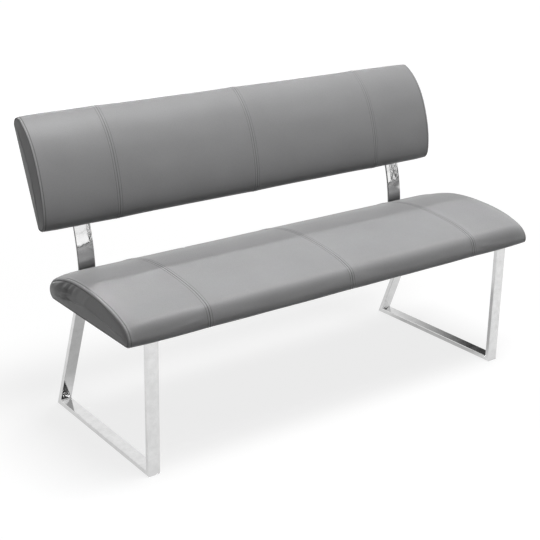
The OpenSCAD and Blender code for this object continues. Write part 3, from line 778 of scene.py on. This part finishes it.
def dust_sag(x, y):
    """The cloth hangs a little and in waves where neither its border nor the steel holds it up."""
    steel = abs(abs(x) - rail_middle) - rail_half
    if y > bar_from - bar_ahead:
        steel = min(steel, max(abs(abs(x) - bar_x) - bar_wide / 2 - bar_beside, bar_from - y))
    border = to_border(x, y, dust_low, dust_high) - dust_fold
    free = within(steel / sag_by_steel) * within(border / sag_by_border)
    wave = 0.6 + noise.noise(Vector((x * 5, y * 7, 3.0))) + 0.25 * noise.noise(Vector((x * 22, y * 9, 8.0)))
    return most_sag * free * free * (3 - 2 * free) * max(0.1, wave)


def flat_grid(across, along):
    bm = bmesh.new()
    bmesh.ops.create_grid(bm, x_segments=len(across) - 1, y_segments=len(along) - 1, size=0.5)
    return bm


def on_lines(bm, across, along):
    """Each vertex of a flat grid, with the entries of the two lines that cross there."""
    return [(v, across[round((v.co.x + 0.5) * (len(across) - 1))],
             along[round((v.co.y + 0.5) * (len(along) - 1))]) for v in bm.verts]


across, along = (folded_stations(dust_low[k], dust_high[k]) for k in (0, 1))
bm, corners = flat_grid(across, along), []
for v, (x, fold_x), (y, fold_y) in on_lines(bm, across, along):
    fold = max(fold_x, fold_y)
    v.co = (x, y, dust_above + fold_lift * fold - (0 if fold else dust_sag(x, y)))
    if fold_x > 0.7 and fold_y > 0.7:
        corners.append(v)
bmesh.ops.delete(bm, geom=corners, context="VERTS")
bmesh.ops.solidify(bm, geom=bm.faces, thickness=dust_thick)
bmesh.ops.recalc_face_normals(bm, faces=bm.faces)
dust_cloth = finish_piece("dust_cloth", bm, cloth_black, at_seat, slot="dust_cover")
cut_away(dust_cloth, [hole_cutter(x, y, bolt_hole, at_seat) for x, y in seat_bolt_holes])
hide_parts("seat_dust_cover")

wire_wide, wire_thick, crown, wire_bend, leg_long = 0.0012, 0.0006, 0.0088, 0.0002, 0.0068
staples_along, staples_up, staple_row, staple_in, staple_ends = 44, 9, 0.700, 0.0055, 0.030
staple_clear, staple_clear_bar, staple_skew, staple_proud = 0.008, 0.010, 0.10, 0.0001


def one_staple():
    """A staple's wire, drawn from the tip of one leg over the crown to the other."""
    bm = bmesh.new()
    bmesh.ops.create_grid(bm, x_segments=1, y_segments=1, size=0.5)
    bmesh.ops.scale(bm, vec=(wire_thick, wire_wide, 1), verts=bm.verts)
    bmesh.ops.translate(bm, vec=(-crown / 2 - wire_thick, 0, wire_bend + leg_long), verts=bm.verts)
    end = run_on(bm, bm.faces[:], (0, 0, -leg_long))
    end = bend_on(bm, end, (-crown / 2, 0, wire_bend), (0, 1, 0), -math.pi / 2, 3)
    end = run_on(bm, end, (crown, 0, 0))
    end = bend_on(bm, end, (crown / 2, 0, wire_bend), (0, 1, 0), -math.pi / 2, 3)
    run_on(bm, end, (0, 0, leg_long))
    bmesh.ops.recalc_face_normals(bm, faces=bm.faces)
    return new_mesh("one staple", bm)


staple, bm = one_staple(), bmesh.new()
staple_places = []
for k in range(staples_along):
    x = -staple_row + 2 * staple_row * k / (staples_along - 1)
    if abs(abs(x) - rail_middle) < rail_half + staple_clear:
        continue
    staple_places.append((x, dust_low.y + staple_in, 0.0))
    if abs(abs(x) - bar_x) > bar_wide / 2 + staple_clear_bar:
        staple_places.append((x, dust_high.y - staple_in, 0.0))
for k in range(staples_up):
    y = dust_low.y + staple_ends + (dust_high.y - dust_low.y - 2 * staple_ends) * k / (staples_up - 1)
    staple_places += [(x, y, math.pi / 2) for x in (dust_low.x + staple_in, dust_high.x - staple_in)]
for x, y, turn in staple_places:
    skew = staple_skew * noise.noise(Vector((x * 50, y * 50, 0)))
    stamp(bm, staple, Matrix.Translation((x, y, staple_proud)) @ Matrix.Rotation(turn + skew, 4, "Z"))
finish_piece("seat_staples", bm, zinc, at_seat, smooth=False, slot="fastener")


# Backrest: made as the seat is, of foam under four front panels and two end panels, round a 12 mm
# plywood board. It is bolted to the two bars through its rear cover.
back_start, back_tall, back_thick = -0.0735, 0.347, 0.086
back_mid = [
    (0.0303, 0), (0.0101, 0.093), (0, 0.209), (0.0072, 0.337), (0.0303, 0.448), (0.0766, 0.566),
    (0.1400, 0.678), (0.2124, 0.775), (0.2990, 0.864), (0.3945, 0.933), (0.4928, 0.982),
    (0.5880, 1), (0.6806, 0.974), (0.7645, 0.913), (0.8396, 0.818), (0.9032, 0.706),
    (0.9523, 0.596), (0.9855, 0.490), (1, 0.355), (0.9980, 0.215), (0.9850, 0.095), (0.9550, 0)]
back_end = [
    (0.0448, 0), (0.0260, 0.081), (0.0159, 0.180), (0.0188, 0.297), (0.0360, 0.407),
    (0.0795, 0.535), (0.1400, 0.651), (0.2095, 0.756), (0.2930, 0.849), (0.3860, 0.919),
    (0.4870, 0.965), (0.5820, 0.977), (0.6750, 0.951), (0.7587, 0.884), (0.8340, 0.785),
    (0.8945, 0.663), (0.9407, 0.541), (0.9725, 0.419), (0.9855, 0.302), (0.9840, 0.186),
    (0.9697, 0.081), (0.9436, 0)]
back_section = Section(back_mid, back_end, back_start, back_tall, back_thick, steps=96, floor_steps=20)
back_y, back_z = 0.22364, 0.66093
at_back = Matrix.Translation((0, back_y, back_z)) @ Matrix.Rotation(math.pi / 2 - bar_lean, 4, "X")

# A ridge and a valley at the upper corner of a back end panel, each by its place and height
back_folds, fold_wide, fold_slant = [(0.220, 0.0006), (0.207, -0.00048)], 0.006, 0.4
back_ease, fold_z = 0.0040, (0.050, 0.025)


def back_gather(x, y, z, inset):
    """Faint folds that run down from the upper corner of each end panel's seam."""
    if inset < panel_from:
        return 0.0
    fold = sum(tall * bell(y + z * fold_slant - at, fold_wide) for at, tall in back_folds)
    return fold * min(1.0, (inset - panel_from) / back_ease) * bell(z - fold_z[0], fold_z[1])


back_openings = [((-0.7382, -0.0497, 0.0010), (0.7382, 0.2497, 0.0134)),
                 ((-0.7453, -0.0511, -0.01), (0.7453, 0.2460, 0.0012))]
# tight=0.55 makes the painted shade at the backrest's cross seams weaker
padding = cushion("back_padding", back_section, 0.0020, back_gather, tight=0.55)
upholster("back", padding, back_section, at_back, back_openings)


# Rear cover of the backrest: one stretched panel of the same imitation leather over the board. Its edge
# is folded in and topstitched, and the two bars are bolted on over it.
rear_low, rear_high = Vector((-0.7449, -0.0508)), Vector((0.7449, 0.2457))
rear_stitch_in, rear_step, back_bolts_up = 0.0060, 0.010, (0.0378, 0.1053)
rear_edge = (0, 0.0003, 0.0008, 0.0016, 0.0030, 0.0047, rear_stitch_in, 0.0073, 0.0090, 0.0125)
rear_thick, rear_groove, groove_wide, rear_round, round_wide = 0.0009, 0.0005, 0.0011, 0.0010, 0.0014
rear_swell, swell_by_bar, swell_by_border, bar_free, border_free = 0.0007, 0.06, 0.03, 0.034, 0.009
rear_wave, rear_above, rear_painted_shade = 0.0006, 0.0001, [(0.55, rear_stitch_in, 0.0008), (0.8, 0.0, 0.0006)]


def rear_stations(low, high):
    first, span = low + rear_edge[-1], high - low - 2 * rear_edge[-1]
    count = round(span / rear_step)
    return ([low + q for q in rear_edge] + [first + span * k / count for k in range(1, count)]
            + [high - q for q in reversed(rear_edge)])


across, along = (rear_stations(rear_low[k], rear_high[k]) for k in (0, 1))
bm = flat_grid(across, along)
painted_shading = bm.verts.layers.float.new("painted_shading")
for v, x, y in on_lines(bm, across, along):
    border = to_border(x, y, rear_low, rear_high)
    rounded = rear_round * (1 - min(1.0, border / round_wide)) ** 2
    groove = rear_groove * bell(border - rear_stitch_in, groove_wide)
    free = within((abs(abs(x) - bar_x) - bar_free) / swell_by_bar)
    free *= within((border - border_free) / swell_by_border)
    swell = free * (rear_swell + rear_wave * noise.noise(Vector((x * 6, y * 8, 5.0))))
    v.co = (x, y, rear_above + rounded + groove - swell)
    # Painted shade along the stitch groove and at the folded edge
    v[painted_shading] = min(1.0, beside(border, rear_painted_shade))
bmesh.ops.recalc_face_normals(bm, faces=bm.faces)
if bm.faces[0].normal.z > 0:
    bmesh.ops.reverse_faces(bm, faces=bm.faces)
rear_skin = BVHTree.FromBMesh(bm)
bmesh.ops.solidify(bm, geom=bm.faces, thickness=rear_thick)
bmesh.ops.recalc_face_normals(bm, faces=bm.faces)
rear_panel = finish_piece("back_rear_panel", bm, cover_leather, at_back, slot="cover")
cut_away(rear_panel, [
    hole_cutter(s * bar_x, up, bolt_hole, at_back) for s in (-1, 1) for up in back_bolts_up])
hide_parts("back_rear_cover")

stitch, bm, out = one_stitch(), bmesh.new(), Vector((0, 0, -1))
row_in = Vector((rear_stitch_in, rear_stitch_in))
low, high = rear_low + row_in, rear_high - row_in
row_corners = [Vector((*place, 0)) for place in (low, (high.x, low.y), high, (low.x, high.y), low)]
for a, b in zip(row_corners, row_corners[1:]):
    sew_row(bm, stitch, rear_skin, [(a, out), (b, out)])
finish_piece("rear_topstitching", bm, shaded_thread_grey, at_back, slot="cover")


# Fasteners: zinc-plated flanged hexagon-socket bolts with washers. Six hold the leg loops and four the
# bars under the seat, and four more hold the backrest to the bars.
dress([nodes[n] for n in ("loop_bolts", "support_bolts", "backrest_bolts", "washers")], zinc)


# The studio: a pale floor that runs on into a white backdrop, a soft box overhead and a little in front,
# a weak one behind on the left, a strip lamp with a grid whose light comes over the backrest, and the
# photograph's camera. The chrome mirrors a plain, dim end of the studio instead of the whitened backdrop.
def blend(tree, share, a, b):
    return add(tree, "Mix", {0: share, 2: a, 3: b}, data_type="FLOAT").outputs[0]


def seen_directly(tree):
    """What the camera, metal and glass see, and what metal mirrors, but not by way of a dull surface."""
    path = add(tree, "LightPath").outputs
    seen = calculate(tree, "MAXIMUM", path["Is Camera Ray"], path["Is Glossy Ray"])
    seen = calculate(tree, "MAXIMUM", seen, path["Is Transmission Ray"])
    first = calculate(tree, "LESS_THAN", path["Diffuse Depth"], 0.5)
    return [product(tree, kind, first) for kind in (seen, path["Is Glossy Ray"])]


world = bpy.data.worlds.new("studio")
bpy.context.scene.world = world
world.use_nodes = True
tree = world.node_tree
tree.nodes.clear()
seen, mirrored = seen_directly(tree)
way = add(tree, "TexCoord").outputs["Generated"]
toward = add(tree, "SeparateXYZ", {"Vector": way}).outputs
# The end of the studio in front of the bench by height: dim floor, a dark line at the horizon, pale wall
heights = [(0.0, 0.10), (0.19, 0.36), (0.230, 0.36), (0.235, 0.04), (0.275, 0.04), (0.290, 1.0),
           (0.585, 1.0), (0.60, 0.30), (0.63, 0.90), (0.80, 0.95), (0.84, 0.45), (0.90, 1.0)]
wall = ramp(tree, ranged(tree, toward["Z"], (-0.10, 0.30)), [(at, (grey,) * 3) for at, grey in heights])
# Stands on the right before the wall
stands = ranged(tree, noise_over(tree, way, 32.0, 2.0), (0.48, 0.56))
on_right = ranged(tree, toward["X"], (0.52, 0.56))
on_right = product(tree, on_right, ranged(tree, toward["Z"], (0.0, 0.01)))
room_end = product(tree, blend(tree, on_right, wall, stands), 1.5)
in_front = product(tree, ranged(tree, toward["Y"], (-0.25, -0.35)), mirrored)
shown = blend(tree, in_front, 1.0, room_end)
# and a dark curtain far to the right, behind
slant = calculate(tree, "SUBTRACT", calculate(tree, "SUBTRACT", toward["X"], toward["Y"]), 0.08)
curtain = ranged(tree, calculate(tree, "ABSOLUTE", slant), (0.16, 0.06))
curtain = product(tree, curtain, ranged(tree, toward["Y"], (0.20, 0.30)), mirrored)
shown = blend(tree, curtain, shown, 0.06)
fill = add(tree, "Background", {"Color": (1, 1, 1, 1), "Strength": 0.04})
white = add(tree, "Background", {"Color": (1, 1, 1, 1), "Strength": shown})
both = add(tree, "MixShader", {0: seen, 1: fill.outputs[0], 2: white.outputs[0]})
add(tree, "OutputWorld", {"Surface": both.outputs[0]})

paper = bpy.data.materials.new("pale studio paper")
paper.use_nodes = True
tree = paper.node_tree
tree.nodes.clear()
seen, mirrored = seen_directly(tree)
place = object_coordinates(tree)
away = add(tree, "VectorMath", {0: place}, operation="LENGTH").outputs["Value"]
rising = ranged(tree, away, (0.5, 5.0), (0.82, 1.0), interpolation_type="SMOOTHSTEP")
# The chrome mirrors the paper as it is before it is whitened: in shade under the bench, dim far in front
past = add(tree, "VectorMath", {0: place}, operation="ABSOLUTE").outputs[0]
past = add(tree, "VectorMath", {0: past, 1: (0.60, 0.16, 0)}, operation="SUBTRACT").outputs[0]
past = add(tree, "VectorMath", {0: past, 1: (0, 0, 0)}, operation="MAXIMUM").outputs[0]
past = add(tree, "VectorMath", {0: past}, operation="LENGTH").outputs["Value"]
shade = ranged(tree, past, (0.0, 0.10), (0.62, 0.92), interpolation_type="SMOOTHSTEP")
depth = add(tree, "SeparateXYZ", {"Vector": place}).outputs["Y"]
shade = product(tree, shade, ranged(tree, depth, (-4.5, -2.5), (0.30, 1.0)))
shade = blend(tree, mirrored, 1.0, shade)
strength = product(tree, rising, seen, shade)
tint = product(tree, ranged(tree, seen, wanted=(0.36, 0.20)), shade)
lit = add(tree, "BsdfDiffuse", {"Color": tint})
glow = add(tree, "Emission", {"Strength": strength})
both = add(tree, "AddShader", {0: lit.outputs[0], 1: glow.outputs[0]})
add(tree, "OutputMaterial", {"Surface": both.outputs[0]})

bm = bmesh.new()
bmesh.ops.create_grid(bm, x_segments=1, y_segments=1, size=14.0)
floor = new_object("studio_floor", new_mesh("studio_floor", bm))
floor.data.materials.append(paper)


def lamp(name, at, aim, wide, tall, power, spread=180):
    light = bpy.data.lights.new(name, "AREA")
    light.shape, light.size, light.size_y, light.energy = "RECTANGLE", wide, tall, power
    light.spread = math.radians(spread)
    made = new_object(name, light)
    made.location = at
    made.rotation_euler = (Vector(aim) - Vector(at)).to_track_quat("-Z", "Y").to_euler()


lamp("soft_box_overhead", (0.45, -1.0, 5.1), (0, 0, 0.5), 3.0, 1.6, 276)
lamp("strip_lamp_behind", (0.1, 2.75, 3.72), (-0.05, -0.50, 0.5), 3.0, 0.06, 4.6, spread=16)
lamp("soft_box_left", (-2.6, 1.7, 1.5), (-0.75, 0, 0.5), 0.7, 0.7, 5)

eye = Vector((-2.08323, -2.81438, 1.65143))
yaw, pitch, roll = math.radians(35.6378), math.radians(17.2728), math.radians(-0.0460)
ahead = Vector((math.sin(yaw) * math.cos(pitch), math.cos(yaw) * math.cos(pitch), -math.sin(pitch)))
level = Vector((math.cos(yaw), -math.sin(yaw), 0))
upright = level.cross(ahead)
right = math.cos(roll) * level + math.sin(roll) * upright
camera = bpy.data.cameras.new("camera")
camera.lens, camera.sensor_width, camera.shift_y = 78.251, 36, -0.1
camera.clip_start, camera.clip_end = 0.1, 60
holder = new_object("camera", camera)
facing = Matrix((right, right.cross(ahead), -ahead)).transposed()
holder.matrix_world = Matrix.Translation(eye) @ facing.to_4x4()
bpy.context.scene.camera = holder
bpy.context.scene.view_settings.view_transform = "Standard"
